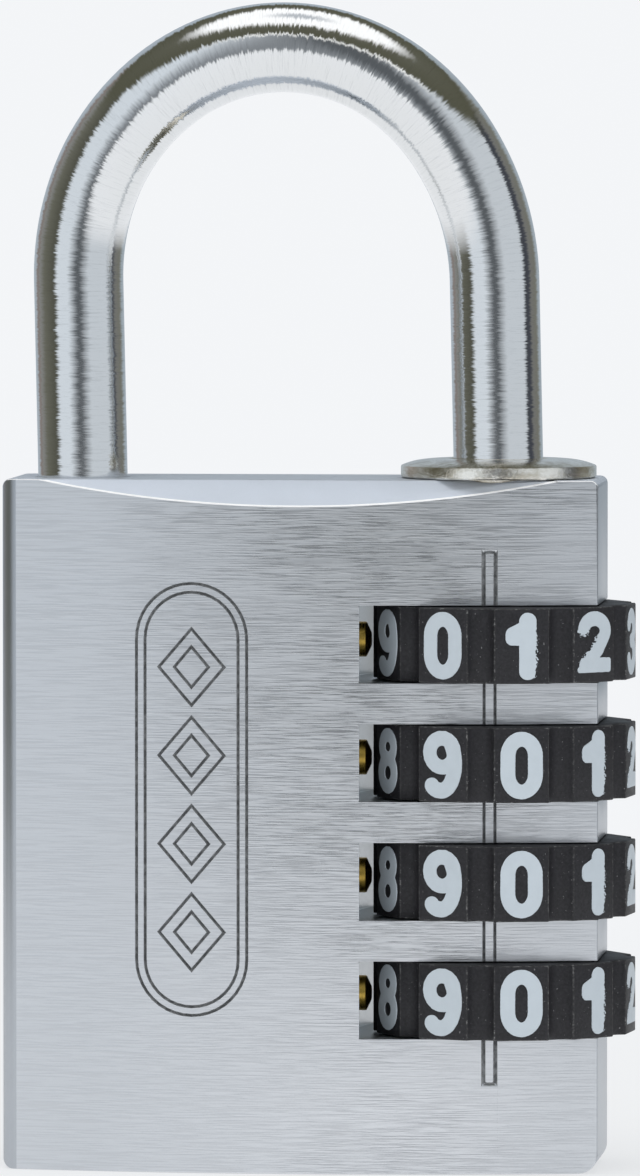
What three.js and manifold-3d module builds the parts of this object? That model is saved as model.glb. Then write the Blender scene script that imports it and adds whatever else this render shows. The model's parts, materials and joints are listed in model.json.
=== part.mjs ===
// Combination padlock with four dial wheels, a round shackle and a guide ring.
// Millimetres. +X runs from the short shackle leg to the wheels, +Y to the back, +Z up.
// The origin is the centre of the flat bottom face.
import * as THREE from "three";
import { mergeVertices } from "three/addons/utils/BufferGeometryUtils.js";
import Module from "manifold-3d";

// Body
const bodyWidth = 40;
const bodyHeight = 46.25;
const bodyDepth = 14;
const faceBulgeRadius = 90;
const leftCornerRound = 0.7;
const rightCornerRound = 1.2;
const sideEdgeBreak = 0.35;
const topFlatHalfDepth = 5.3;

// Wheel stack
const wheelCount = 4;
const wheelPitch = 7.91;
const lowestWheelZ = 11.63;
const wheelThickness = 5;
const slotHeight = 5.2;
const slotWallX = 4.25;
const slotWallRadius = 22;
const boreRadius = 5.05;

// Dial wheels: ten flat facets with a concave flute between each pair
const facetCount = 10;
const facetStep = (2 * Math.PI) / facetCount;
const wheelCornerRadius = 8.8;
const facetHalfAngle = THREE.MathUtils.degToRad(12.1);
const wheelPhase = THREE.MathUtils.degToRad(12);
const fluteDepth = 0.6;
const wheelBoreRadius = 4.8;

// Shackle
const rodRadius = 3;
const legSpacing = 28;
const longLegX = 13;
const archHalfHeight = 15.15;
const archCentreZ = 59.9;
const toeZ = 39.7;
const shoulderZ = 39.35;
const stemRadius = 2.1;
const stemBottomZ = 2.9;
const finReach = 3.2;
const finWidth = 1.6;
const finHeight = 1.6;
const finAboveSleeve = 0.9;

// The detent pins press the wheels to the right by this play
const wheelPlay = 0.4;
const wheelAxisX = longLegX + wheelPlay;

// Clutch sleeves
const sleeveLength = 7.56;
const sleeveToothRadius = 4.5;
const sleeveRootRadius = 4.2;
const sleeveLandRadius = 2.65;
const sleeveRecessRadius = 3.8;
const sleeveRecessHeight = 3.4;
const gateWidth = 2.3;

// Guide ring
const ringRadius = 6.55;
const ringBottomZ = bodyHeight + 0.05;
const ringRimHeight = 0.8;
const ringDomeHeight = 0.45;
const ringSleeveRadius = 5.15;
const ringBoreRadius = 3.2;
const counterboreRadius = 5.45;
const counterboreZ = 39.3;
const finRoomZ = 42.2;

// Detent pins and springs
const pinRadius = 1.18;
const pinNoseRadius = 0.5;
const pinNoseLength = 0.34;
const pinTipX = 4.62;
const pinLength = 3.9;
const pinBoreRadius = 1.38;
const pinRise = 0.12;
const pinBoreEndX = -2.6;
const detentAngle = wheelPhase - 2.5 * facetStep;
const pinY = -wheelCornerRadius * Math.cos(facetHalfAngle / 2) * Math.cos(detentAngle);

// Parts under the sleeves
const plugBottomZ = 0.15;
const plugTopZ = 2.4;
const plugRadius = 4.8;
const washerBottomZ = 6.8;
const washerTopZ = 7.55;
const washerBoreRadius = 2.75;

const gap = 0.3;
const roundSegments = 32;

const wasm = await Module();
wasm.setup();

const finishes = {
  body: { color: 0xbfc3c9, roughness: 0.42, metalness: 0.9 },
  chrome: { color: 0xd4d6d8, roughness: 0.12, metalness: 1 },
  nickel: { color: 0xc2bba9, roughness: 0.25, metalness: 1 },
  wheel: { color: 0x222326, roughness: 0.6, metalness: 0 },
  brass: { color: 0xa8842c, roughness: 0.3, metalness: 1 },
  steel: { color: 0x8e9196, roughness: 0.35, metalness: 1 },
};
const materials = {};
for (const [name, values] of Object.entries(finishes)) {
  materials[name] = new THREE.MeshStandardMaterial(values);
}

// Geometry to manifold solid, and back
function solid(geometry) {
  const bare = geometry.clone();
  bare.deleteAttribute("normal");
  bare.deleteAttribute("uv");
  const merged = mergeVertices(bare, 1e-4);
  return new wasm.Manifold(
    new wasm.Mesh({
      numProp: 3,
      vertProperties: merged.attributes.position.array,
      triVerts: new Uint32Array(merged.index.array),
    }),
  );
}

function geometryOf(body) {
  const mesh = body.getMesh();
  const geometry = new THREE.BufferGeometry();
  geometry.setAttribute("position", new THREE.BufferAttribute(mesh.vertProperties, 3));
  geometry.setIndex(new THREE.BufferAttribute(mesh.triVerts, 1));
  geometry.computeVertexNormals();
  return geometry;
}

function piece(name, body, finish) {
  const mesh = new THREE.Mesh(geometryOf(body), materials[finish]);
  mesh.name = name;
  return mesh;
}

// Basic shapes between two heights, and between two corners
function post(radius, bottomZ, topZ, x = 0, y = 0, segments = roundSegments) {
  const geometry = new THREE.CylinderGeometry(radius, radius, topZ - bottomZ, segments);
  geometry.rotateX(Math.PI / 2);
  geometry.translate(x, y, (bottomZ + topZ) / 2);
  return solid(geometry);
}

function block(low, high) {
  const size = high.map((value, i) => value - low[i]);
  const geometry = new THREE.BoxGeometry(...size);
  geometry.translate(...low.map((value, i) => (value + high[i]) / 2));
  return solid(geometry);
}

function prism(shape, bottomZ, topZ, curveSegments = 12) {
  const options = { depth: topZ - bottomZ, bevelEnabled: false, curveSegments };
  const geometry = new THREE.ExtrudeGeometry(shape, options);
  geometry.translate(0, 0, bottomZ);
  return solid(geometry);
}

function helix(radius, wireRadius, length, turns, stepsPerTurn, sides) {
  const points = [];
  const steps = turns * stepsPerTurn;
  for (let i = 0; i <= steps; i += 1) {
    const angle = (2 * Math.PI * i) / stepsPerTurn;
    const rise = wireRadius + ((length - 2 * wireRadius) * i) / steps;
    points.push(new THREE.Vector3(radius * Math.cos(angle), radius * Math.sin(angle), rise));
  }
  const path = new THREE.CatmullRomCurve3(points);
  const section = new THREE.Shape().absarc(0, 0, wireRadius, 0, 2 * Math.PI);
  const options = { steps, extrudePath: path, curveSegments: sides / 2 };
  return new THREE.ExtrudeGeometry(section, options);
}

function wheelZ(index) {
  return lowestWheelZ + (wheelCount - index) * wheelPitch;
}

// The detent pins sit a little above the middle of their slots
function pinZ(index) {
  return wheelZ(index) + pinRise;
}

// Half of the body's depth at a distance x from the middle of its bulged face
function halfDepthAt(x) {
  const drop = faceBulgeRadius - Math.sqrt(faceBulgeRadius ** 2 - x ** 2);
  return bodyDepth / 2 - drop;
}

// Body outline seen from above: two bulged faces and two flat sides with broken edges
function bodyPlan() {
  const faceEnd = bodyWidth / 2 - sideEdgeBreak;
  const steps = 20;
  const shape = new THREE.Shape();
  for (const side of [-1, 1]) {
    const sideDepth = halfDepthAt(faceEnd) - sideEdgeBreak;
    shape.lineTo((side * bodyWidth) / 2, side * sideDepth);
    for (let i = 0; i <= steps; i += 1) {
      const x = side * faceEnd * (1 - (2 * i) / steps);
      shape.lineTo(x, side * halfDepthAt(x));
    }
    shape.lineTo((-side * bodyWidth) / 2, side * sideDepth);
  }
  shape.curves.shift();
  shape.closePath();
  return shape;
}

// Body outline seen from the front, extruded through the depth
function bodyFront() {
  const half = bodyWidth / 2;
  const shape = new THREE.Shape();
  const left = leftCornerRound;
  const right = rightCornerRound;
  shape.absarc(-half + left, left, left, Math.PI, 1.5 * Math.PI);
  shape.absarc(half - right, right, right, 1.5 * Math.PI, 2 * Math.PI);
  shape.absarc(half - left, bodyHeight - left, left, 0, Math.PI / 2);
  shape.absarc(-half + left, bodyHeight - left, left, Math.PI / 2, Math.PI);
  const options = { depth: bodyDepth + 2, bevelEnabled: false, curveSegments: 4 };
  const geometry = new THREE.ExtrudeGeometry(shape, options);
  geometry.translate(0, 0, -bodyDepth / 2 - 1);
  geometry.rotateX(Math.PI / 2);
  return solid(geometry);
}

// Wedge that bevels the front or back top edge at 45 degrees
function topBevel(side) {
  const reach = bodyDepth / 2 - topFlatHalfDepth + 1;
  const shape = new THREE.Shape();
  shape.moveTo(0, 0);
  shape.lineTo(reach, -reach);
  shape.lineTo(reach, 1);
  shape.lineTo(0, 1);
  shape.closePath();
  const options = { depth: bodyWidth + 2, bevelEnabled: false };
  const geometry = new THREE.ExtrudeGeometry(shape, options);
  geometry.rotateX(Math.PI / 2);
  geometry.rotateZ(Math.PI / 2);
  geometry.translate(-bodyWidth / 2 - 1, topFlatHalfDepth, bodyHeight);
  if (side < 0) geometry.rotateZ(Math.PI);
  return solid(geometry);
}

// Wheel slot: open at the front, back and right, with a curved left wall
function wheelSlot(index) {
  const reach = bodyDepth / 2 + 2;
  const faceY = halfDepthAt(slotWallX);
  const centreX = slotWallX + Math.sqrt(slotWallRadius ** 2 - faceY ** 2);
  const halfAngle = Math.asin(reach / slotWallRadius);
  const shape = new THREE.Shape();
  shape.absarc(centreX, 0, slotWallRadius, Math.PI - halfAngle, Math.PI + halfAngle);
  shape.lineTo(bodyWidth / 2 + 2, -reach);
  shape.lineTo(bodyWidth / 2 + 2, reach);
  shape.closePath();
  const z = wheelZ(index);
  return prism(shape, z - slotHeight / 2, z + slotHeight / 2, 10);
}

function pinBore(index) {
  const length = slotWallX + 1 - pinBoreEndX;
  const geometry = new THREE.CylinderGeometry(pinBoreRadius, pinBoreRadius, length, 16);
  geometry.rotateZ(Math.PI / 2);
  geometry.translate(pinBoreEndX + length / 2, pinY, pinZ(index));
  return solid(geometry);
}

function lockBody() {
  let body = prism(bodyPlan(), 0, bodyHeight).intersect(bodyFront());
  body = body.subtract(topBevel(1)).subtract(topBevel(-1));
  body = body.subtract(post(boreRadius, -1, bodyHeight + 1, longLegX));
  body = body.subtract(post(counterboreRadius, counterboreZ, bodyHeight + 1, longLegX));
  const toeX = longLegX - legSpacing;
  body = body.subtract(post(rodRadius + 0.2, toeZ - gap, bodyHeight + 1, toeX));
  for (let i = 1; i <= wheelCount; i += 1) {
    body = body.subtract(wheelSlot(i)).subtract(pinBore(i));
  }
  return piece("lock_body", body, "body");
}

// Shackle: the bent rod, the slim stem below the long leg and one fin for each wheel
function shackle() {
  const centreX = longLegX - legSpacing / 2;
  const archSteps = 24;
  const legSteps = 8;
  const points = [];
  for (let i = 0; i < legSteps; i += 1) {
    const z = toeZ + ((archCentreZ - toeZ) * i) / legSteps;
    points.push(new THREE.Vector3(centreX - legSpacing / 2, 0, z));
  }
  for (let i = 0; i <= archSteps; i += 1) {
    const angle = Math.PI * (1 - i / archSteps);
    const x = centreX + (legSpacing / 2) * Math.cos(angle);
    points.push(new THREE.Vector3(x, 0, archCentreZ + archHalfHeight * Math.sin(angle)));
  }
  for (let i = 1; i <= legSteps; i += 1) {
    const z = archCentreZ - ((archCentreZ - shoulderZ) * i) / legSteps;
    points.push(new THREE.Vector3(longLegX, 0, z));
  }
  const path = new THREE.CatmullRomCurve3(points);
  const section = new THREE.Shape().absarc(0, 0, rodRadius, 0, 2 * Math.PI);
  const rod = new THREE.ExtrudeGeometry(section, {
    steps: 46,
    extrudePath: path,
    curveSegments: 12,
  });
  let body = solid(rod).add(post(stemRadius, stemBottomZ, shoulderZ + 1, longLegX, 0, 20));
  for (let i = 1; i <= wheelCount; i += 1) {
    const z = wheelZ(i) - sleeveLength / 2 + finAboveSleeve;
    const low = [longLegX - finReach, -finWidth / 2, z];
    const high = [longLegX, finWidth / 2, z + finHeight];
    body = body.add(block(low, high));
  }
  return piece("shackle", body, "chrome");
}

// Wheel outline: facet corners joined by flute arcs
function wheelOutline() {
  const shape = new THREE.Shape();
  const fluteSteps = 5;
  const halfFlute = facetStep / 2 - facetHalfAngle;
  const mouthRadius = wheelCornerRadius * Math.cos(halfFlute);
  const halfMouth = wheelCornerRadius * Math.sin(halfFlute);
  const arcRadius = (halfMouth ** 2 + fluteDepth ** 2) / (2 * fluteDepth);
  const halfArc = Math.asin(halfMouth / arcRadius);
  for (let k = 0; k < facetCount; k += 1) {
    const middle = wheelPhase + (k + 0.5) * facetStep - Math.PI / 2;
    for (let i = 0; i <= fluteSteps; i += 1) {
      const swing = halfArc * ((2 * i) / fluteSteps - 1);
      const along = arcRadius * Math.sin(swing);
      const out = mouthRadius + arcRadius * (Math.cos(halfArc) - Math.cos(swing));
      const x = out * Math.cos(middle) - along * Math.sin(middle);
      const y = out * Math.sin(middle) + along * Math.cos(middle);
      if (k + i === 0) shape.moveTo(x, y);
      else shape.lineTo(x, y);
    }
  }
  shape.closePath();
  return shape;
}

// Round outline with ten square teeth, standing out or cut in
function toothedOutline(Path, rootRadius, toothRadius) {
  const path = new Path();
  const halfTooth = facetStep / 4;
  for (let k = 0; k < facetCount; k += 1) {
    const middle = k * facetStep;
    const corners = [
      [rootRadius, -halfTooth * 1.1],
      [toothRadius, -halfTooth * 0.9],
      [toothRadius, halfTooth * 0.9],
      [rootRadius, halfTooth * 1.1],
    ];
    for (const [radius, turn] of corners) {
      const x = radius * Math.cos(middle + turn);
      const y = radius * Math.sin(middle + turn);
      if (k === 0 && turn < -halfTooth) path.moveTo(x, y);
      else path.lineTo(x, y);
    }
  }
  path.closePath();
  return path;
}

function dialWheel(index) {
  const outline = wheelOutline();
  const half = wheelThickness / 2;
  const splines = toothedOutline(THREE.Shape, wheelBoreRadius - 0.25, wheelBoreRadius);
  const body = prism(outline, -half, half).subtract(prism(splines, -half - 1, half + 1));
  const mesh = piece(`dial_wheel_${index}`, body, "wheel");
  mesh.position.set(wheelAxisX, 0, wheelZ(index));
  return mesh;
}

// Clutch sleeve: a recess for the fin below, a land with one gate above
function clutchSleeve(index) {
  const outline = toothedOutline(THREE.Shape, sleeveRootRadius, sleeveToothRadius);
  let body = prism(outline, 0, sleeveLength);
  body = body.subtract(post(sleeveLandRadius, -1, sleeveLength + 1));
  body = body.subtract(post(sleeveRecessRadius, -1, sleeveRecessHeight));
  const low = [-sleeveRecessRadius, -gateWidth / 2, sleeveRecessHeight - 1];
  body = body.subtract(block(low, [0, gateWidth / 2, sleeveLength + 1]));
  const mesh = piece(`clutch_sleeve_${index}`, body, "steel");
  mesh.position.set(wheelAxisX, 0, wheelZ(index) - sleeveLength / 2);
  return mesh;
}

// Guide ring: domed flange above the body, sleeve below, with room inside for the top fin
function guideRing() {
  const rimTop = ringBottomZ + ringRimHeight;
  const edge = 0.15;
  const profile = [
    [ringSleeveRadius - 1, counterboreZ + gap / 2],
    [ringSleeveRadius, counterboreZ + gap / 2],
    [ringSleeveRadius, ringBottomZ],
    [ringRadius - edge, ringBottomZ],
    [ringRadius, ringBottomZ + edge],
    [ringRadius, rimTop - edge],
    [ringRadius - edge, rimTop],
    [ringRadius - 0.7, rimTop + 0.7 * ringDomeHeight],
    [(ringRadius + rodRadius) / 2, rimTop + ringDomeHeight],
    [ringBoreRadius, rimTop + ringDomeHeight],
    [ringBoreRadius, finRoomZ],
    [ringSleeveRadius - 1, finRoomZ],
    [ringSleeveRadius - 1, counterboreZ + gap / 2],
  ];
  const points = profile.map(([radius, z]) => new THREE.Vector2(radius, z));
  const geometry = new THREE.LatheGeometry(points, 40);
  geometry.rotateX(Math.PI / 2);
  geometry.translate(longLegX, 0, 0);
  return piece("guide_ring", solid(geometry), "nickel");
}

// Detent pin: a brass plunger with a blunt cone, free in its bore
function detentPin(index) {
  const profile = [
    [0, 0],
    [pinRadius, 0],
    [pinRadius, pinLength - pinNoseLength],
    [pinNoseRadius, pinLength],
    [0, pinLength],
  ];
  const points = profile.map(([radius, along]) => new THREE.Vector2(radius, along));
  const geometry = new THREE.LatheGeometry(points, 20);
  geometry.rotateZ(-Math.PI / 2);
  const mesh = piece(`detent_pin_${index}`, solid(geometry), "brass");
  mesh.position.set(pinTipX - pinLength, pinY, pinZ(index));
  return mesh;
}

function detentSpring(index) {
  const startX = pinBoreEndX + gap / 3;
  const length = pinTipX - pinLength - gap / 3 - startX;
  const geometry = helix(0.85, 0.18, length, 4, 8, 6);
  geometry.rotateY(Math.PI / 2);
  const mesh = piece(`detent_spring_${index}`, solid(geometry), "steel");
  mesh.position.set(startX, pinY, pinZ(index));
  return mesh;
}

// Parts under the sleeves: washer, spring and the plug that closes the bore
function thrustWasher() {
  const ring = post(plugRadius, washerBottomZ, washerTopZ);
  const body = ring.subtract(post(washerBoreRadius, washerBottomZ - 1, washerTopZ + 1));
  const mesh = piece("thrust_washer", body, "steel");
  mesh.position.x = longLegX;
  return mesh;
}

function clutchSpring() {
  const startZ = plugTopZ + gap / 3;
  const length = washerBottomZ - gap / 3 - startZ;
  const geometry = helix(3.5, 0.35, length, 3, 16, 6);
  const mesh = piece("clutch_spring", solid(geometry), "steel");
  mesh.position.set(longLegX, 0, startZ);
  return mesh;
}

function basePlug() {
  const disc = post(plugRadius, plugBottomZ, plugTopZ);
  const slot = block([-2.4, -0.5, plugBottomZ - 1], [2.4, 0.5, plugBottomZ + 0.8]);
  const mesh = piece("base_plug", disc.subtract(slot), "body");
  mesh.position.x = longLegX;
  return mesh;
}

const group = new THREE.Group();
group.add(lockBody(), guideRing(), thrustWasher(), clutchSpring(), basePlug(), shackle());
for (let i = 1; i <= wheelCount; i += 1) {
  group.add(dialWheel(i), clutchSleeve(i), detentPin(i), detentSpring(i));
}

export default group;
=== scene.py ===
# %% [markdown]
# # A combination padlock
# The lock has a brushed metal body, a bright round shackle, a nickel guide ring and four black
# number wheels, each held by a small brass pin. The frame brings the working parts at their real
# size. This lesson gives them the surfaces of the real thing: edges, engraving, digits and metal.

# %% Load the frame
import json
import math

import bmesh
import bpy
import numpy as np
from mathutils import Matrix, Vector

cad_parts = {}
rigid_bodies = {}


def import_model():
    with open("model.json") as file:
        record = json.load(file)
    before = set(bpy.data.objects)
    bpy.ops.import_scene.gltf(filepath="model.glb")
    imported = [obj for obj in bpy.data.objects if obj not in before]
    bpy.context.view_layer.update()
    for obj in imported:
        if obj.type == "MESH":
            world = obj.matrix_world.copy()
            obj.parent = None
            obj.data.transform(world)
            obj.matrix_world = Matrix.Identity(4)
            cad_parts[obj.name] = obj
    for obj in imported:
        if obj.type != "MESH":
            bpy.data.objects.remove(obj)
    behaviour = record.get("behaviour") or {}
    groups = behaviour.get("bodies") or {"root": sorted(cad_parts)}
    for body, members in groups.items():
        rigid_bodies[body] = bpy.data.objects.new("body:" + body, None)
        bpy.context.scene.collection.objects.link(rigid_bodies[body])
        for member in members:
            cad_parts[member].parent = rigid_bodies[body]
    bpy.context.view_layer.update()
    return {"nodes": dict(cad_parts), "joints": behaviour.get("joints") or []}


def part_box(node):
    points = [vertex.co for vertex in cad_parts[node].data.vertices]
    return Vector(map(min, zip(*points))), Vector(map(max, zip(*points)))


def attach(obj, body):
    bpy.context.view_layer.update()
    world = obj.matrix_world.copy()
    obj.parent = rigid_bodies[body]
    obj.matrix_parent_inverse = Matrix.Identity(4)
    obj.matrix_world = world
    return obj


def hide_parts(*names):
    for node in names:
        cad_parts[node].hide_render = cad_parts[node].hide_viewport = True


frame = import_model()
MM = 0.001
print("pieces in the frame:", len(frame["nodes"]))

# %% [markdown]
# ## Sizes taken from the frame
# Everything stands on measures that the frame already holds: the body's box, the wheels' axis
# and heights, and the two legs of the shackle. Reading them here keeps the looks and the
# mechanism in step.

# %% Measure the frame
body_low, body_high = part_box("lock_body")
joints = {joint["name"]: joint for joint in frame["joints"]}
wheel_axis = Vector(joints["wheel_1_turn"]["pos_m"])
wheel_names = ["1", "2", "3", "4"]
wheel_z = {name: joints[f"wheel_{name}_turn"]["pos_m"][2] for name in wheel_names}
ring_low, ring_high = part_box("guide_ring")
leg_x = (ring_low.x + ring_high.x) / 2
shackle_low, shackle_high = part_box("shackle")
rod_radius = (shackle_high.y - shackle_low.y) / 2
toe_x = shackle_low.x + rod_radius
body_half_width = body_high.x
body_height = body_high.z
body_half_depth = body_high.y
print("body in mm:", [round(v / MM, 1) for v in body_high - body_low])

# %% [markdown]
# ## Tools for shaping
# Three small tools do most of the work. One turns a bmesh into an object, one applies an object's
# modifiers to its mesh, and one cuts or joins two objects. Cutting with a tool shape is how the
# real body is made too: a block is sawn from a bar, then milled and drilled.

# %% Shaping tools
def make_object(name, shape):
    """An object in the scene from a bmesh, which is freed."""
    mesh = bpy.data.meshes.new(name)
    bmesh.ops.recalc_face_normals(shape, faces=shape.faces)
    shape.to_mesh(mesh)
    shape.free()
    made = bpy.data.objects.new(name, mesh)
    bpy.context.scene.collection.objects.link(made)
    return made


def settle(made):
    """Apply the modifiers."""
    graph = bpy.context.evaluated_depsgraph_get()
    settled = bpy.data.meshes.new_from_object(made.evaluated_get(graph))
    made.modifiers.clear()
    made.data = settled


def combine(made, tool, operation):
    """Cut, join or intersect with a tool object, which is used up."""
    boolean = made.modifiers.new("combine", "BOOLEAN")
    boolean.operation = operation
    boolean.solver = "EXACT"
    boolean.object = tool
    settle(made)
    bpy.data.objects.remove(tool)


def break_edges(made, width, chosen=None, angle=25, segments=2, material=-1):
    """A small rounded bevel along the sharp edges, or only those that are chosen."""
    shape = bmesh.new()
    shape.from_mesh(made.data)
    weight = shape.edges.layers.float.new("bevel_weight_edge")
    for edge in shape.edges:
        sharp = edge.calc_face_angle(0) > math.radians(angle)
        edge[weight] = float(sharp and (chosen is None or chosen(edge)))
    shape.to_mesh(made.data)
    shape.free()
    bevel = made.modifiers.new("broken edges", "BEVEL")
    bevel.width = width
    bevel.segments = segments
    bevel.limit_method = "WEIGHT"
    bevel.use_clamp_overlap = False
    bevel.material = material
    settle(made)


def smooth_below(made, angle):
    """Smooth shading, with edges sharper than the angle kept crisp."""
    shape = bmesh.new()
    shape.from_mesh(made.data)
    for face in shape.faces:
        face.smooth = True
    for edge in shape.edges:
        edge.smooth = edge.calc_face_angle(0) < math.radians(angle)
    shape.to_mesh(made.data)
    shape.free()


# %% Prisms and turned shapes
def round_point(x, y, radius, turn):
    """A point on a circle round (x, y), by its turn in radians."""
    return x + radius * math.cos(turn), y + radius * math.sin(turn)


def add_skin(shape, rings):
    """Faces between each ring of points and the next, all round."""
    for first, second in zip(rings, rings[1:]):
        for k in range(len(first)):
            j = (k + 1) % len(first)
            shape.faces.new((first[k], first[j], second[j], second[k]))


def prism(points, low, high):
    """A bmesh prism of (x, y) points between two heights."""
    shape = bmesh.new()
    bottom = [shape.verts.new((x, y, low)) for x, y in points]
    top = [shape.verts.new((x, y, high)) for x, y in points]
    shape.faces.new(bottom[::-1])
    shape.faces.new(top)
    add_skin(shape, [bottom, top])
    return shape


def turned(profile, centre, axis="Z", sides=64):
    """A closed bmesh turned from (radius, along) points; a radius of 0 closes on the axis."""
    shape = bmesh.new()
    rings = []
    for radius, along in profile:
        if radius == 0:
            rings.append([shape.verts.new((0, 0, along))])
            continue
        turns = [2 * math.pi * k / sides for k in range(sides)]
        rings.append([shape.verts.new((radius * math.cos(t), radius * math.sin(t), along)) for t in turns])
    closes_on_axis = len(rings[0]) == 1
    if not closes_on_axis:
        rings.append(rings[0])
    for first, second in zip(rings, rings[1:]):
        for k in range(sides):
            corners = [first[k % len(first)], first[(k + 1) % len(first)]]
            corners += [second[(k + 1) % len(second)], second[k % len(second)]]
            shape.faces.new(list(dict.fromkeys(corners)))
    if axis == "X":
        shape.transform(Matrix.Rotation(math.pi / 2, 4, "Y"))
    shape.transform(Matrix.Translation(centre))
    return shape


# %% [markdown]
# ## The body block
# The real body is a length of drawn bar: seen from above, its front and back are gently bulged
# and its sides are flat. The left edges are well rounded, the right ones stay crisp. A plain box
# with a bevel could not give that, so the outline is drawn from arcs and raised into a block. The
# block is then trimmed to the front view, with small round corners, and bevelled along the top.

# %% Draw the bar's outline
bulge_radius = 90 * MM
left_edge_round = 1.3 * MM
right_edge_round = 0.16 * MM


def half_depth(x):
    """Half the body's depth at a place across its bulged face."""
    return body_half_depth - bulge_radius + math.sqrt(bulge_radius**2 - x**2)


def edge_round(side, radius, steps=6):
    """Points of the rounded front edge on the left (-1) or right (+1)."""
    centre_x = side * (body_half_width - radius)
    arc_y = bulge_radius - body_half_depth
    centre_y = arc_y - math.sqrt((bulge_radius - radius) ** 2 - centre_x**2)
    lean = math.asin(abs(centre_x) / (bulge_radius - radius))
    points = []
    for k in range(steps + 1):
        turn = (math.pi / 2 - lean) * k / steps
        out = Vector((side * math.cos(turn), -math.sin(turn)))
        points.append((centre_x + radius * out.x, centre_y + radius * out.y))
    return points


def bar_outline(steps=30):
    """The bar seen from above, with the front's points from left to right."""
    front = edge_round(-1, left_edge_round)
    right = edge_round(1, right_edge_round)[::-1]
    start, end = front[-1][0], right[0][0]
    for k in range(1, steps):
        x = start + (end - start) * k / steps
        front.append((x, -half_depth(x)))
    front += right
    back = [(x, -y) for x, y in front[::-1]]
    return front + back


body = make_object("body_block", prism(bar_outline(), 0, body_height))
print("bar outline points:", len(bar_outline()))

# %% Trim to the front view and bevel the top
top_left_round = 0.7 * MM
top_right_round = 0.5 * MM
bottom_left_round = 0.75 * MM
bottom_right_round = 1.25 * MM
top_flat_half_depth = 5.3 * MM
tool_reach = 10 * MM


def front_trim():
    """A prism of the body's front view, with its four small round corners."""
    corners = [
        (-1, 0, bottom_left_round, 180),
        (1, 0, bottom_right_round, 270),
        (1, 1, top_right_round, 0),
        (-1, 1, top_left_round, 90),
    ]
    points = []
    for side, upper, radius, start in corners:
        centre_x = side * (body_half_width - radius)
        centre_z = body_height - radius if upper else radius
        for k in range(9):
            turn = math.radians(start + 90 * k / 8)
            points.append(round_point(centre_x, centre_z, radius, turn))
    shape = prism(points, -tool_reach, tool_reach)
    shape.transform(Matrix.Rotation(math.pi / 2, 4, "X"))
    return shape


def bevel_top(made):
    """Slice the front and back top edges off at 45 degrees."""
    shape = bmesh.new()
    shape.from_mesh(made.data)
    for side in (-1, 1):
        cut = bmesh.ops.bisect_plane(
            shape,
            geom=shape.verts[:] + shape.edges[:] + shape.faces[:],
            plane_co=(0, side * top_flat_half_depth, body_height),
            plane_no=(0, side, 1),
            clear_outer=True,
        )
        rim = [item for item in cut["geom_cut"] if isinstance(item, bmesh.types.BMEdge)]
        bmesh.ops.edgeloop_fill(shape, edges=rim)
    shape.to_mesh(made.data)
    shape.free()


combine(body, make_object("front_trim", front_trim()), "INTERSECT")
bevel_top(body)
print("block faces:", len(body.data.polygons))

# %% [markdown]
# ## Slots and holes
# Each wheel slot is milled from the right with a disc cutter, so its left wall is part of a
# circle, and the corners where the wall meets the floor and roof keep the cutter's small radius.
# The long leg's hole is drilled in two steps, and its wide mouth breaks into the top bevel.

# %% Cut the wheel slots
slot_height = 5.2 * MM
slot_wall_x = 4.25 * MM
slot_cutter_radius = 22 * MM
slot_corner_round = 0.28 * MM
tolerance = 0.01 * MM


def slot_cutter(z):
    """The space that the disc cutter clears at a height, open to the right."""
    reach = 9 * MM
    centre_x = slot_wall_x + math.sqrt(slot_cutter_radius**2 - half_depth(slot_wall_x) ** 2)
    half_turn = math.asin(reach / slot_cutter_radius)
    steps = 24
    outside = body_half_width + 3 * MM
    points = [(outside, -reach), (outside, reach)]
    for k in range(steps + 1):
        turn = math.pi - half_turn + 2 * half_turn * k / steps
        points.append(round_point(centre_x, 0, slot_cutter_radius, turn))
    shape = prism(points, z - slot_height / 2, z + slot_height / 2)
    wall = centre_x - slot_cutter_radius * math.cos(half_turn) + tolerance
    rims = [e for e in shape.edges if all(v.co.x < wall for v in e.verts)]
    rims = [e for e in rims if abs(e.verts[0].co.z - e.verts[1].co.z) < tolerance]
    bmesh.ops.bevel(shape, geom=rims, offset=slot_corner_round, segments=3, profile=0.5, affect="EDGES")
    return shape


for name in wheel_names:
    combine(body, make_object("slot_cutter", slot_cutter(wheel_z[name])), "DIFFERENCE")
print("slots cut at mm:", [round(wheel_z[name] / MM, 2) for name in wheel_names])

# %% Drill the holes
bore_radius = 5.05 * MM
counterbore_radius = 5.45 * MM
counterbore_z = 39.3 * MM
toe_hole_radius = 3.2 * MM
toe_hole_z = 39.4 * MM
pin_radius = 1.18 * MM
pin_bore_radius = 1.38 * MM
pin_low, pin_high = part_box("detent_pin_1")
pin_y = (pin_low.y + pin_high.y) / 2
pin_z = {name: sum(corner.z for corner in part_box(f"detent_pin_{name}")) / 2 for name in wheel_names}
pin_bore_start, pin_bore_end = -2.6 * MM, 5 * MM
below, above = -1 * MM, body_height + 1 * MM

stem_bore = [(0, below), (bore_radius, below), (bore_radius, counterbore_z)]
stem_bore += [(counterbore_radius, counterbore_z), (counterbore_radius, above), (0, above)]
toe_bore = [(0, toe_hole_z), (toe_hole_radius, toe_hole_z), (toe_hole_radius, above), (0, above)]
pin_bore = [(0, pin_bore_start), (pin_bore_radius, pin_bore_start)]
pin_bore += [(pin_bore_radius, pin_bore_end), (0, pin_bore_end)]
combine(body, make_object("stem_drill", turned(stem_bore, (leg_x, 0, 0))), "DIFFERENCE")
combine(body, make_object("toe_drill", turned(toe_bore, (toe_x, 0, 0))), "DIFFERENCE")
for name in wheel_names:
    drill = turned(pin_bore, (0, pin_y, pin_z[name]), "X", 32)
    combine(body, make_object("pin_drill", drill), "DIFFERENCE")
print("body faces after drilling:", len(body.data.polygons))

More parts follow.
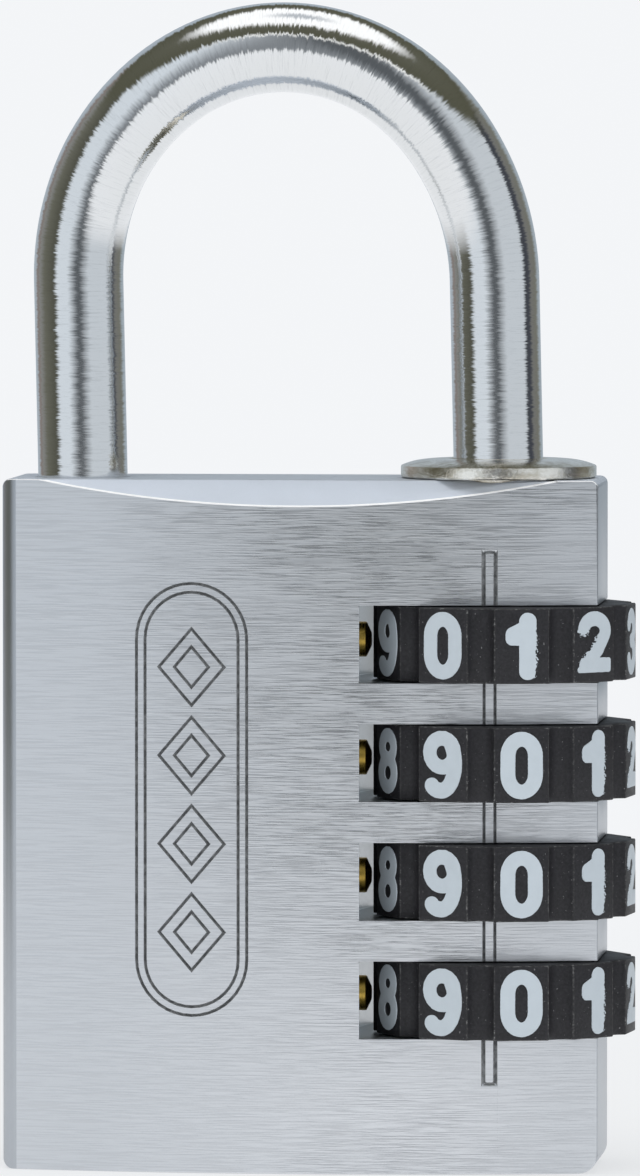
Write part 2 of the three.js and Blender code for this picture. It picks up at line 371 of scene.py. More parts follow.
# %% [markdown]
# ## Engraving
# The front carries a frame of two fine lines with round ends, and a narrow upright bar that marks
# where the code is read. Lines this fine could be bump in a material, but a cut groove catches
# light on its own walls, so each one is a thin V-shaped tool that follows the bulged face. The
# lozenges inside the frame are a plain pattern.

# %% Engraving tool
groove_width = 0.21 * MM
groove_depth = 0.11 * MM


def groove_tool(path):
    """A V-shaped tool along a closed path of (x, z) points on the front face."""
    shape = bmesh.new()
    count = len(path)
    rings = []
    for i in range(count):
        here = Vector(path[i])
        before = (here - Vector(path[i - 1])).normalized()
        after = (Vector(path[(i + 1) % count]) - here).normalized()
        along = (before + after).normalized()
        across = Vector((-along.y, along.x)) / max(along.dot(before), 0.3)
        left = here + across * groove_width / 2
        right = here - across * groove_width / 2
        ring = []
        for spot, lift in ((left, 0.4), (right, 0.4), (right, 0.0), (here, -1.0), (left, 0.0)):
            y = -half_depth(spot.x) - lift * groove_depth
            ring.append(shape.verts.new((spot.x, y, spot.y)))
        rings.append(ring)
    add_skin(shape, rings + rings[:1])
    return shape


def stadium(centre_x, centre_z, half_width, half_height, steps=20):
    """An upright frame with half-circle ends, and points along its straight sides."""
    rise = half_height - half_width
    points = []
    for end in (1, -1):
        for k in range(steps + 1):
            turn = math.pi * k / steps + (0 if end > 0 else math.pi)
            points.append(round_point(centre_x, centre_z + end * rise, half_width, turn))
    return points


def polygon_path(corners, steps=4):
    """A closed path through corners, with points between them."""
    points = []
    for i, corner in enumerate(corners):
        start, end = Vector(corner), Vector(corners[(i + 1) % len(corners)])
        points += [tuple(start.lerp(end, k / steps)) for k in range(steps)]
    return points


# %% Engrave the frame, its lozenges and the index bar
frame_x = -7.0 * MM
frame_z = 24.95 * MM
frame_half_width = 3.72 * MM
frame_half_height = 14.42 * MM
frame_line_gap = 0.58 * MM
index_x = 12.87 * MM
index_half_width = 0.36 * MM
index_low, index_high = 6.05 * MM, 41.5 * MM
lozenge_step = 5.9 * MM
lozenge_sizes = [(2.2 * MM, 2.55 * MM), (1.15 * MM, 1.35 * MM)]


def lozenge(centre_z, half_width, half_height):
    corners = [(half_width, 0), (0, half_height), (-half_width, 0), (0, -half_height)]
    return polygon_path([(frame_x + x, centre_z + z) for x, z in corners])


lines = [stadium(frame_x, frame_z, frame_half_width, frame_half_height)]
inner_half_width = frame_half_width - frame_line_gap
lines.append(stadium(frame_x, frame_z, inner_half_width, frame_half_height - frame_line_gap))
for k in range(4):
    z = frame_z + (k - 1.5) * lozenge_step
    lines += [lozenge(z, half_width, half_height) for half_width, half_height in lozenge_sizes]
index_left, index_right = index_x - index_half_width, index_x + index_half_width
index_corners = [(index_left, index_low), (index_right, index_low)]
index_corners += [(index_right, index_high), (index_left, index_high)]
lines.append(polygon_path(index_corners, 2))
for line in lines:
    combine(body, make_object("groove_tool", groove_tool(line)), "DIFFERENCE")
print("engraved lines:", len(lines), "body faces:", len(body.data.polygons))

# %% [markdown]
# ## Broken edges
# A real edge is never perfectly sharp: tumbling or a file takes it off by a few hundredths, and
# that thin line catches the light. A weighted bevel gives it to every sharp edge but two kinds.
# The engraving is too fine for it, and the slots' front edges are left crisp, as the brushing
# leaves them.

# %% Break the edges
edge_break = 0.07 * MM
frame_margin = 0.4 * MM
index_margin = 0.2 * MM
front_zone = 3 * MM


def engraved(spot):
    """Whether a point lies on the front where the frame, its lozenges or the index bar are."""
    if spot.y > front_zone - body_half_depth:
        return False
    if abs(spot.x - frame_x) < frame_half_width + frame_margin:
        return abs(spot.z - frame_z) < frame_half_height + frame_margin
    return abs(spot.x - index_x) < index_half_width + index_margin and index_low < spot.z < index_high


def on_front_rim(spot):
    """Whether a point lies where a wheel slot opens on the front face."""
    on_face = abs(-spot.y - half_depth(spot.x)) < 0.2 * MM
    return on_face and any(abs(abs(spot.z - z) - slot_height / 2) < 0.03 * MM for z in wheel_z.values())


def worth_breaking(edge):
    """Whether an edge lies neither in the engraving nor along a slot's front rim."""
    spots = [v.co for v in edge.verts]
    return not any(all(kept(spot) for spot in spots) for kept in (engraved, on_front_rim))


break_edges(body, edge_break, worth_breaking)
print("body faces with broken edges:", len(body.data.polygons))

# %% [markdown]
# ## Light that follows the bulge
# The bulged faces are built from flat strips. Shading blends strips, but the engraving breaks
# them up, and then the blend wobbles in a metal surface. The bulge is part of a cylinder, so its
# true direction is known at every point and is written onto the face corners.

# %% Set the true directions on the bulged faces
def true_bulge_normals(made):
    mesh = made.data
    normals = [(0.0, 0.0, 0.0)] * len(mesh.loops)
    for polygon in mesh.polygons:
        x, y = polygon.center.xy
        on_bulge = abs(abs(y) - half_depth(x)) < 2 * tolerance and abs(polygon.normal.y) > 0.9
        if not on_bulge or abs(polygon.normal.z) > 0.05:
            continue
        for loop in polygon.loop_indices:
            spot = mesh.vertices[mesh.loops[loop].vertex_index].co
            across = spot.x / bulge_radius
            depth = math.sqrt(1 - across**2)
            normals[loop] = (across, math.copysign(depth, y), 0.0)
    mesh.normals_split_custom_set(normals)


smooth_below(body, 35)
true_bulge_normals(body)

# %% [markdown]
# ## Building a finish from nodes
# A finish is a small graph: coordinates go into a noise, the noise is remapped, and the result
# drives colour, roughness and bump. The same few nodes return in every finish, so each gets a
# short helper, and a socket is set or linked by its own name.

# %% Node helpers
def feed(tree, node, **values):
    """Set or link a node's input sockets by name, with _ for a space."""
    for name, value in values.items():
        socket = node.inputs[name.replace("_", " ")]
        if isinstance(value, bpy.types.NodeSocket):
            tree.links.new(value, socket)
        else:
            socket.default_value = value


def add_node(tree, kind, **values):
    """A node: small names are its own settings, capital ones its input sockets."""
    node = tree.nodes.new(kind)
    for name, value in values.items():
        if name[0].isupper():
            feed(tree, node, **{name: value})
        else:
            setattr(node, name, value)
    return node


def new_finish(name, **values):
    """A material with its main shader's sockets set: the material, its tree and the shader."""
    finish = bpy.data.materials.new(name)
    finish.use_nodes = True
    shader = finish.node_tree.nodes["Principled BSDF"]
    feed(finish.node_tree, shader, **values)
    return finish, finish.node_tree, shader


def place(tree, scale, turn=(0, 0, 0), source=None):
    """Coordinates in metres, stretched by one scale or by one for each axis."""
    if source is None:
        source = add_node(tree, "ShaderNodeTexCoord").outputs["Object"]
    if not isinstance(scale, tuple):
        scale = (scale, scale, scale)
    mapping = add_node(tree, "ShaderNodeMapping", Vector=source, Rotation=turn, Scale=scale)
    return mapping.outputs["Vector"]


def noise(tree, vector, detail=4.0, roughness=0.6):
    texture = add_node(tree, "ShaderNodeTexNoise", Vector=vector, Scale=1.0)
    feed(tree, texture, Detail=detail, Roughness=roughness)
    return texture.outputs["Fac"]


def remap(tree, value, low, high, new_low=0.0, new_high=1.0):
    node = add_node(tree, "ShaderNodeMapRange", clamp=True, Value=value)
    feed(tree, node, From_Min=low, From_Max=high, To_Min=new_low, To_Max=new_high)
    return node.outputs["Result"]


def calculate(tree, operation, *values):
    """One step of arithmetic on numbers or other nodes' results."""
    node = add_node(tree, "ShaderNodeMath", operation=operation)
    for socket, value in zip(node.inputs, values):
        if isinstance(value, (int, float)):
            socket.default_value = value
        else:
            tree.links.new(value, socket)
    return node.outputs["Value"]


def multiply(tree, first, second):
    return calculate(tree, "MULTIPLY", first, second)


def blend_colours(tree, factor, first, second):
    mix = add_node(tree, "ShaderNodeMix", data_type="RGBA", Factor=factor)
    for socket, colour in zip((mix.inputs[6], mix.inputs[7]), (first, second)):
        if isinstance(colour, tuple):
            socket.default_value = (*colour, 1)
        else:
            tree.links.new(colour, socket)
    return mix.outputs[2]


def add_bump(tree, shader, height, strength, distance):
    bump = add_node(tree, "ShaderNodeBump", Height=height, Strength=strength, Distance=distance)
    feed(tree, shader, Normal=bump.outputs["Normal"])
    return bump


def grained(name, light, dark, rough, grain, clouds=None, detail=3, bump=0.15, depth=0.01, **values):
    """A finish of two tones in soft clouds, with a fine grain in its roughness and bump."""
    finish, tree, shader = new_finish(name, **values)
    speck = noise(tree, place(tree, grain), detail)
    patches = noise(tree, place(tree, clouds), 3) if clouds else speck
    tone = blend_colours(tree, patches, light, dark)
    feed(tree, shader, Base_Color=tone, Roughness=remap(tree, speck, 0.3, 0.7, *rough))
    add_bump(tree, shader, speck, bump, depth * MM)
    return finish


# %% [markdown]
# ## The body's finishes
# The faces are brushed: tiny grooves all run one way, slightly downhill. They are a noise that is
# stretched far along the brushing, and it drives colour, roughness and bump together. On the real
# face the brushing shows most in the middle and towards the top and fades to the left, to the
# right and at the bottom, so the place on the body steers its strength. The face's colour also
# holds painted shade and painted reflection: in the middle it runs from light at the bottom to
# dark at the top, for the bright table and the tent's dark gap mirrored in the metal. A picture of
# brushed metal could be wrapped on instead, but it would blur from close by. The bevel is blasted
# to a pearly grey with a painted highlight, a near-white line, along its lower edge, the grooves
# are dark grey, and the sides and slots are plain satin.

# %% Brushed face
def brushed_face():
    finish, tree, shader = new_finish("brushed_face", Metallic=1.0, Anisotropic=0.5)
    downhill = (0, math.radians(1.2), 0)
    fine = noise(tree, place(tree, (300, 300, 10500), downhill), 2)
    broad = noise(tree, place(tree, (70, 70, 2600), downhill), 3)
    cloud = noise(tree, place(tree, (90, 90, 220)), 3)
    spot = add_node(tree, "ShaderNodeSeparateXYZ", Vector=place(tree, 1))
    x, z = spot.outputs["X"], spot.outputs["Z"]
    from_left = remap(tree, x, -14 * MM, 5 * MM)
    middle = multiply(tree, from_left, remap(tree, x, 9 * MM, 18 * MM, 1.0, 0.35))
    from_bottom = remap(tree, z, 6 * MM, 34 * MM, 0.32, 1.0)
    strength = multiply(tree, remap(tree, middle, 0.0, 1.0, 0.14, 1.0), from_bottom)
    patchy = multiply(tree, strength, remap(tree, cloud, 0.38, 0.58, 0.4, 1.0))
    patchy = calculate(tree, "MAXIMUM", patchy, 0.17)
    lines = multiply(tree, remap(tree, fine, 0.44, 0.60), patchy)
    wide_lines = multiply(tree, remap(tree, broad, 0.48, 0.7, 0.0, 0.35), patchy)
    shade = calculate(tree, "MAXIMUM", lines, wide_lines)
    # Painted shade and painted reflection: in the middle, the face and its dark streaks are coloured light
    # at the bottom and dark at the top, for the bright table and the tent's dark gap mirrored there.
    height = remap(tree, z, 4 * MM, 46 * MM)
    painted_shade_tone = blend_colours(tree, height, (0.86, 0.88, 0.915), (0.63, 0.65, 0.67))
    tone = blend_colours(tree, middle, (0.71, 0.735, 0.77), painted_shade_tone)
    streak_and_shade_tone = blend_colours(tree, height, (0.40, 0.41, 0.43), (0.20, 0.21, 0.22))
    brushed_way = add_node(tree, "ShaderNodeTangent", direction_type="RADIAL", axis="Z")
    feed(tree, shader, Base_Color=blend_colours(tree, shade, tone, streak_and_shade_tone))
    feed(tree, shader, Roughness=remap(tree, shade, 0.0, 1.0, 0.34, 0.20))
    feed(tree, shader, Tangent=brushed_way.outputs["Tangent"])
    add_bump(tree, shader, shade, 0.5, 0.03 * MM)
    return finish


# %% Residue, pearl and satin finishes
def dark_groove_finish():
    """A dark grey finish for the engraved lines."""
    finish, tree, shader = new_finish("dark_groove_finish", Metallic=0.4)
    groove_mottle = noise(tree, place(tree, 2600))
    tone = blend_colours(tree, remap(tree, groove_mottle, 0.4, 0.7), (0.13, 0.135, 0.14), (0.30, 0.31, 0.32))
    feed(tree, shader, Base_Color=tone, Roughness=remap(tree, groove_mottle, 0.3, 0.7, 0.7, 0.5))
    add_bump(tree, shader, groove_mottle, 0.3, 0.01 * MM)
    return finish


def pearl_metal(name, light, dark, metallic):
    """Bead-blasted metal: much of its light is scattered like chalk."""
    return grained(name, light, dark, (0.42, 0.56), 8000, 220, Metallic=metallic)


def satin_metal(name, colour, rough, grain=9000):
    dark = tuple(0.9 * value for value in colour)
    return grained(name, colour, dark, (rough - 0.05, rough + 0.06), grain, 250, bump=0.12, Metallic=1.0)


body_finishes = {
    "face": brushed_face(),
    "bevel": pearl_metal("pearl_bevel", (0.66, 0.71, 0.80), (0.58, 0.63, 0.70), 0.55),
    "side": satin_metal("satin_side", (0.54, 0.57, 0.61), 0.34),
    "slot": satin_metal("milled_slot", (0.62, 0.64, 0.66), 0.34, 5000),
    "dark groove": dark_groove_finish(),
    # A painted highlight: a near-white colour on the thin lower edge of the top bevel, where the overhead
    # light would be mirrored.
    "painted highlight edge": pearl_metal("painted_highlight_edge", (0.98, 0.98, 0.98), (0.93, 0.93, 0.94), 0.1),
}
print("finishes on the body:", list(body_finishes))

# %% [markdown]
# ## A finish for each face
# One mesh carries all six finishes. Where a face lies and which way it looks tells which one it
# gets, so no face has to be picked by hand.

# %% Give each face of the body its finish
side_zone = 1.4 * MM
bottom_zone = 0.8 * MM
bevel_zone = 2.2 * MM
# How far below the top the bevel's lower edge gets the painted highlight.
painted_highlight_zone = 2.5 * MM
groove_floor = 0.2 * MM


def finish_of(spot, normal):
    """Which finish belongs at a spot of the body whose surface looks along a direction."""
    sunk = half_depth(spot.x) - abs(spot.y)
    # The engraved grooves are coloured dark grey.
    if engraved(spot) and 0.006 * MM < sunk < groove_floor:
        return "dark groove"
    # The bevel's lower edge gets the painted highlight.
    if 0.08 < normal.z < 0.65 and abs(normal.y) > 0.6 and spot.z > body_height - painted_highlight_zone:
        return "painted highlight edge"
    if spot.x < side_zone - body_half_width and abs(normal.y) < 0.965 and normal.z < 0.4:
        return "side"
    if abs(normal.y) > 0.8 and sunk < groove_floor:
        return "face"
    if normal.z > 0.4 and spot.z > body_height - bevel_zone:
        return "bevel"
    if abs(spot.x) > body_half_width - side_zone or spot.z < bottom_zone:
        return "side"
    return "slot"


def finish_body(mesh):
    order = list(body_finishes)
    mesh.materials.clear()
    for finish in body_finishes.values():
        mesh.materials.append(finish)
    for polygon in mesh.polygons:
        polygon.material_index = order.index(finish_of(polygon.center, polygon.normal))


finish_body(body.data)
body.name = "brushed_body"
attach(body, "root")
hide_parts("lock_body")
print("body finished:", len(body.data.polygons), "faces")

# %% [markdown]
# ## The shackle
# The shackle is a round rod bent into a bow, then polished and plated. Its centre line is two
# straight legs joined by half an ellipse, and one ring of points is carried along it. On the long
# side it steps down to the slim stem inside the body. Play lets the bow lean a hair to the left.

# %% Shackle line
leg_spacing = leg_x - toe_x
bow_centre_x = (leg_x + toe_x) / 2
bow_centre_z = 59.4 * MM
bow_half_height = shackle_high.z - rod_radius - bow_centre_z
toe_z = 39.7 * MM
stem_radius = 2.1 * MM
shoulder_z = 39.35 * MM
bow_lean = 0.0215
lean_top = 21 * MM


def bow_stations(steps=72):
    """(x, z, radius) from the short leg's toe, over the bow, to the foot of the stem."""
    toe_chamfer, small_chamfer = 0.5 * MM, 0.3 * MM
    stations = [(toe_x, toe_z, rod_radius - toe_chamfer), (toe_x, toe_z + toe_chamfer, rod_radius)]
    stations += [(toe_x, z * MM, rod_radius) for z in range(42, 60, 2)]
    for k in range(steps + 1):
        turn = math.pi * (1 - k / steps)
        x = bow_centre_x + leg_spacing / 2 * math.cos(turn)
        stations.append((x, bow_centre_z + bow_half_height * math.sin(turn), rod_radius))
    stations += [(leg_x, z * MM, rod_radius) for z in range(58, 40, -2)]
    stations += [(leg_x, shoulder_z + small_chamfer, rod_radius)]
    stations += [(leg_x, shoulder_z, rod_radius - small_chamfer), (leg_x, shoulder_z, stem_radius)]
    stations += [(leg_x, shackle_low.z + small_chamfer, stem_radius)]
    stations += [(leg_x, shackle_low.z, stem_radius - small_chamfer)]
    return stations


def bent_rod(stations, sides=64):
    """A rod through the stations. Its points keep their place on the straight rod and the way round it."""
    shape = bmesh.new()
    straight = shape.verts.layers.float_vector.new("rod_space")
    round_way = shape.verts.layers.float_vector.new("round_way")
    rings = []
    along = 0.0
    for i, (x, z, radius) in enumerate(stations):
        before = stations[max(i - 1, 0)]
        after = stations[min(i + 1, len(stations) - 1)]
        heading = Vector((after[0] - before[0], 0, after[1] - before[1])).normalized()
        across = heading.cross(Vector((0, 1, 0)))
        along += math.hypot(x - before[0], z - before[1])
        lean = -bow_lean * min(max(z - body_height, 0), lean_top)
        ring = []
        for k in range(sides):
            turn = 2 * math.pi * k / sides
            out = across * math.cos(turn) + Vector((0, math.sin(turn), 0))
            vertex = shape.verts.new(Vector((x + lean, 0, z)) + radius * out)
            vertex[straight] = (radius * math.cos(turn), radius * math.sin(turn), along)
            vertex[round_way] = Vector((0, math.cos(turn), 0)) - across * math.sin(turn)
            ring.append(vertex)
        rings.append(ring)
    add_skin(shape, rings)
    shape.faces.new(rings[0])
    shape.faces.new(rings[-1])
    return shape


def stem_fin(z):
    """The fin that one wheel's sleeve holds or lets through."""
    reach, half_width, height = 3.2 * MM, 0.8 * MM, 1.6 * MM
    tip = leg_x - reach
    points = [(tip, -half_width), (leg_x, -half_width), (leg_x, half_width), (tip, half_width)]
    return prism(points, z, z + height)


fin_lift = 0.9 * MM
shackle = make_object("polished_shackle", bent_rod(bow_stations()))
for name in wheel_names:
    fin_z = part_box(f"clutch_sleeve_{name}")[0].z + fin_lift
    combine(shackle, make_object("stem_fin", stem_fin(fin_z)), "UNION")
smooth_below(shackle, 30)
print("shackle faces:", len(shackle.data.polygons))

# %% [markdown]
# ## Plated metal
# Bright plate shows the room around it, so most of its look is the light. What the finish adds is
# the polishing: hair-fine marks round the rod that fray the edges of each reflection. Roughness
# alone would only blur them, so a stretched noise sways the surface's direction to and fro round
# the rod. It follows the rod's own straight space, which was kept when it was bent. The ring's
# nickel is warmer and pitted, so its reflections break up into patches.

# %% Chrome and nickel
def vector_step(tree, operation, first):
    """A step of vector arithmetic, with only its first input linked."""
    node = add_node(tree, "ShaderNodeVectorMath", operation=operation)
    tree.links.new(first, node.inputs[0])
    return node


def polished_rod():
    finish, tree, shader = new_finish("polished_chrome", Metallic=1.0)
    rod = add_node(tree, "ShaderNodeAttribute", attribute_name="rod_space").outputs["Vector"]
    way = add_node(tree, "ShaderNodeAttribute", attribute_name="round_way").outputs["Vector"]
    hair = noise(tree, place(tree, (520, 520, 9000), source=rod), 4, 0.8)
    ripple = noise(tree, place(tree, (260, 260, 120), source=rod), 2)
    warm = noise(tree, place(tree, (60, 60, 40), source=rod), 2)
    plate = blend_colours(tree, warm, (0.83, 0.855, 0.88), (0.83, 0.83, 0.82))
    scratch = remap(tree, hair, 0.52, 0.70, 0.0, 0.5)
    feed(tree, shader, Base_Color=blend_colours(tree, scratch, plate, (0.62, 0.635, 0.65)))
    feed(tree, shader, Roughness=remap(tree, hair, 0.35, 0.7, 0.045, 0.12))
    sway = vector_step(tree, "SCALE", way)
    feed(tree, sway, Scale=remap(tree, hair, 0.3, 0.7, -0.085, 0.085))
    swayed = vector_step(tree, "ADD", add_node(tree, "ShaderNodeNewGeometry").outputs["Normal"])
    tree.links.new(sway.outputs["Vector"], swayed.inputs[1])
    level = vector_step(tree, "NORMALIZE", swayed.outputs["Vector"])
    bump = add_bump(tree, shader, ripple, 0.12, 0.04 * MM)
    feed(tree, bump, Normal=level.outputs["Vector"])
    return finish


def nickel_plate():
    finish, tree, shader = new_finish("nickel_plate", Metallic=1.0)
    pits = noise(tree, place(tree, 6000), 4, 0.7)
    patches = noise(tree, place(tree, (700, 700, 1400)), 4, 0.65)
    tone = blend_colours(tree, remap(tree, patches, 0.4, 0.62), (0.98, 0.95, 0.88), (0.68, 0.63, 0.53))
    feed(tree, shader, Base_Color=tone, Roughness=remap(tree, pits, 0.3, 0.7, 0.10, 0.24))
    add_bump(tree, shader, calculate(tree, "MULTIPLY_ADD", patches, 2.5, pits), 0.7, 0.025 * MM)
    return finish


shackle.data.materials.clear()
shackle.data.materials.append(polished_rod())
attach(shackle, "shackle")
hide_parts("shackle")

# %% [markdown]
# ## The guide ring
# A turned collar sits round the long leg, a hair above the body, and its sleeve goes down into
# the wide mouth of the hole. Its top is a low dome and its rim is square with a broken edge, so
# it is turned from one profile, as a lathe would do it.

# %% Turn the guide ring
ring_radius = (ring_high.x - ring_low.x) / 2
ring_bottom = body_height + 0.05 * MM
rim_top = ring_bottom + 0.8 * MM
fin_room_z = 42.2 * MM
dome_power = 3.2


def ring_profile():
    """(radius, height) points: sleeve, rim, dome, bore and the wider room for the top fin."""
    bore, sleeve, room = 3.2 * MM, 5.15 * MM, 4.15 * MM
    edge, bore_edge = 0.09 * MM, 0.2 * MM
    top_radius = ring_radius - 0.4 * edge
    profile = [(room, ring_low.z), (sleeve, ring_low.z), (sleeve, ring_bottom)]
    profile += [(ring_radius - edge, ring_bottom), (ring_radius, ring_bottom + edge)]
    profile += [(ring_radius, rim_top - edge), (top_radius, rim_top)]
    steps = 12
    for k in range(1, steps + 1):
        share = k / steps
        radius = top_radius + (bore + bore_edge - ring_radius) * share
        rise = (ring_high.z - rim_top) * (1 - (1 - share) ** dome_power)
        profile.append((radius, rim_top + rise))
    profile += [(bore, ring_high.z - bore_edge), (bore, fin_room_z), (room, fin_room_z)]
    return profile


ring = make_object("nickel_guide_ring", turned(ring_profile(), (leg_x, 0, 0), sides=96))
smooth_below(ring, 35)
ring.data.materials.append(nickel_plate())
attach(ring, "root")
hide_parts("guide_ring")
print("ring radius in mm:", round(ring_radius / MM, 2))

# %% [markdown]
# ## Black plastic and white paint
# The wheels are moulded in matt black plastic that has picked up dust and fine scuffs. Their
# edges have worn paler and hold a broken line of lint, so the small bevels get a finish of their
# own. The paint in the digits is a cool white with soft mottling.

# %% Wheel finishes
def moulded_black():
    finish, tree, shader = new_finish("moulded_black", Specular_IOR_Level=0.4)
    grain = noise(tree, place(tree, 5200))
    scuff = noise(tree, place(tree, (900, 900, 2600)), 5, 0.75)
    dust = noise(tree, place(tree, 7000), 1)
    mottled = remap(tree, grain, 0.35, 0.65)
    tone = blend_colours(tree, mottled, (0.012, 0.012, 0.014), (0.023, 0.022, 0.026))
    tone = blend_colours(tree, remap(tree, scuff, 0.60, 0.72, 0.0, 0.5), tone, (0.05, 0.05, 0.055))
    tone = blend_colours(tree, remap(tree, dust, 0.74, 0.78, 0.0, 0.8), tone, (0.30, 0.30, 0.31))
    feed(tree, shader, Base_Color=tone, Roughness=remap(tree, scuff, 0.3, 0.7, 0.46, 0.62))
    add_bump(tree, shader, grain, 0.35, 0.02 * MM)
    return finish


def worn_edge():
    finish, tree, shader = new_finish("worn_edge", Specular_IOR_Level=0.4)
    lint = noise(tree, place(tree, 3800), 4, 0.8)
    patch = noise(tree, place(tree, 420), 2)
    broken = multiply(tree, remap(tree, lint, 0.5, 0.66), remap(tree, patch, 0.38, 0.6, 0.15, 1.0))
    tone = blend_colours(tree, broken, (0.022, 0.022, 0.024), (0.22, 0.22, 0.22))
    feed(tree, shader, Base_Color=tone, Roughness=remap(tree, lint, 0.3, 0.7, 0.45, 0.7))
    add_bump(tree, shader, lint, 0.5, 0.03 * MM)
    return finish


black = moulded_black()
worn = worn_edge()
white, shaded_white = (0.60, 0.665, 0.72), (0.53, 0.59, 0.64)
paint = grained("digit_paint", white, shaded_white, (0.38, 0.5), 1300, depth=0.02, Specular_IOR_Level=0.35)

# %% [markdown]
# ## The number wheels
# A wheel is a ten-sided drum with a hollow flute between each pair of facets, for the fingertip
# and for the detent pin. The outline is worked out from one facet and one flute and repeated ten
# times. The splined bore that grips the clutch sleeve is cut afterwards.

# %% Shape one wheel
facet_count = 10
facet_step = 2 * math.pi / facet_count
wheel_corner_radius = 8.8 * MM
facet_half_angle = math.radians(12.1)
wheel_phase = math.radians(12)
flute_depth = 0.6 * MM
wheel_half_thickness = 2.5 * MM
wheel_edge_break = 0.08 * MM
spline_root, spline_groove = 4.55 * MM, 4.8 * MM


def wheel_outline(flute_steps=10):
    """Points round the wheel: each flute arc runs from one facet's edge to the next."""
    half_flute = facet_step / 2 - facet_half_angle
    mouth = wheel_corner_radius * math.cos(half_flute)
    half_mouth = wheel_corner_radius * math.sin(half_flute)
    arc_radius = (half_mouth**2 + flute_depth**2) / (2 * flute_depth)
    half_arc = math.asin(half_mouth / arc_radius)
    points = []
    for k in range(facet_count):
        middle = wheel_phase + (k + 0.5) * facet_step - math.pi / 2
        for i in range(flute_steps + 1):
            swing = half_arc * (2 * i / flute_steps - 1)
            along = arc_radius * math.sin(swing)
            out = mouth + arc_radius * (math.cos(half_arc) - math.cos(swing))
            x = out * math.cos(middle) - along * math.sin(middle)
            y = out * math.sin(middle) + along * math.cos(middle)
            points.append((wheel_axis.x + x, wheel_axis.y + y))
    return points


def spline_outline(root, groove):
    """Points round the bore, with one groove for each facet."""
    points = []
    for k in range(facet_count):
        for radius, share in ((root, -0.275), (groove, -0.225), (groove, 0.225), (root, 0.275)):
            points.append(round_point(wheel_axis.x, wheel_axis.y, radius, (k + share) * facet_step))
    return points


def shape_wheel(name):
    z = wheel_z[name]
    drum = prism(wheel_outline(), z - wheel_half_thickness, z + wheel_half_thickness)
    wheel = make_object(f"number_wheel_{name}", drum)
    bore = prism(spline_outline(spline_root, spline_groove), z - 5 * MM, z + 5 * MM)
    combine(wheel, make_object("spline_bore", bore), "DIFFERENCE")
    wheel.data.materials.append(black)
    wheel.data.materials.append(worn)
    break_edges(wheel, wheel_edge_break, material=1)
    smooth_below(wheel, 30)
    return wheel


wheels = {name: shape_wheel(name) for name in wheel_names}
print("wheel faces:", len(wheels["1"].data.polygons))

# %% [markdown]
# ## Drawing the digits
# The digits are thick, round-ended strokes, filled with white paint. A font would bring letter
# shapes of its own, so each digit is a skeleton of lines and arcs in millimetres. The distance to
# the skeleton gives the stroke: its outline is where that distance equals half the stroke's
# width. A slight waver in the width stands for the way the paint creeps at the edges, and the
# paint of the 1 and the 2 is frayed on one side.

# %% Digit skeletons
def arc(centre_x, centre_y, radius_x, radius_y, start, end, steps=18):
    turns = [math.radians(start + (end - start) * k / steps) for k in range(steps + 1)]
    return [(centre_x + radius_x * math.cos(t), centre_y + radius_y * math.sin(t)) for t in turns]


def half_turn_round(points):
    return [(-x, -y) for x, y in points]


pen = 0.5
thin_pen = 0.2
nine_bowl = arc(-0.05, 0.81, 0.93, 0.99, 0, 360)
nine_tail = arc(-0.12, 0.1, 1.04, 1.87, 40, -90) + arc(-0.12, -1.32, 0.72, 0.45, -90, -165)
zero = arc(0, 0.62, 0.92, 1.17, 0, 180) + arc(0, -0.62, 0.92, 1.17, 180, 360) + [(0.92, 0.62)]
digit_strokes = {
    0: [(pen, zero)],
    1: [
        (0.58, [(0.41, -1.70), (0.41, 1.70)]),
        (0.46, [(0.25, 1.30), (-0.62, 0.84), (-0.62, 0.52), (0.3, 0.52)]),
    ],
    2: [
        (pen, arc(0.03, 0.95, 1.0, 0.83, 168, -32) + [(0.35, -0.35), (-0.85, -1.38), (1.02, -1.38)]),
        (thin_pen, [(-1.3, -1.68), (1.33, -1.68), (1.33, -1.08)]),
    ],
    3: [(pen, arc(-0.05, 0.93, 0.95, 0.86, 160, -90)), (pen, arc(-0.05, -0.85, 1.0, 0.93, 90, -160))],
    4: [(pen, [(0.42, -1.79), (0.42, 1.75), (-1.0, -0.72), (1.05, -0.72)])],
    5: [(pen, [(0.85, 1.79), (-0.65, 1.79), (-0.8, 0.15)] + arc(-0.04, -0.70, 0.98, 1.09, 128, -152))],
    6: [(pen, half_turn_round(nine_bowl)), (pen, half_turn_round(nine_tail))],
    7: [(pen, [(-0.9, 1.79), (0.9, 1.79), (0.2, 0.1), (-0.25, -1.79)])],
    8: [(0.47, arc(0, 0.99, 0.88, 0.81, 0, 360)), (0.48, arc(0, -0.785, 0.97, 0.96, 0, 360))],
    9: [(pen, nine_bowl), (0.54, nine_tail)],
}
print("digits drawn:", sorted(digit_strokes))


# %% From skeleton to outline
def ragged(px, py, digit):
    """How far the paint has frayed, as on the worn digits 1 and 2."""
    first_seed, cell, cells, corner = 20, 0.07, 96, 3
    random = np.random.default_rng(first_seed + digit)
    grid = random.uniform(-1, 1, (cells, cells))
    u, v = (px + corner) / cell, (py + corner) / cell
    i, j = u.astype(int), v.astype(int)
    fu, fv = u - i, v - j
    across = grid[i, j] * (1 - fu) + grid[i + 1, j] * fu
    across_next = grid[i, j + 1] * (1 - fu) + grid[i + 1, j + 1] * fu
    fray = across * (1 - fv) + across_next * fv
    if digit == 1:
        return 0.21 * fray * np.clip((px - 0.8) * 6, 0, 1) * np.clip((1.3 - py) * 2, 0, 1)
    if digit == 2:
        inner = np.clip((0.45 - px) * 4, 0, 1) * np.clip((1.15 - py) * 4, 0, 1)
        return 0.26 * fray * inner * np.clip((py + 1.35) * 3, 0, 1)
    return 0.0 * px


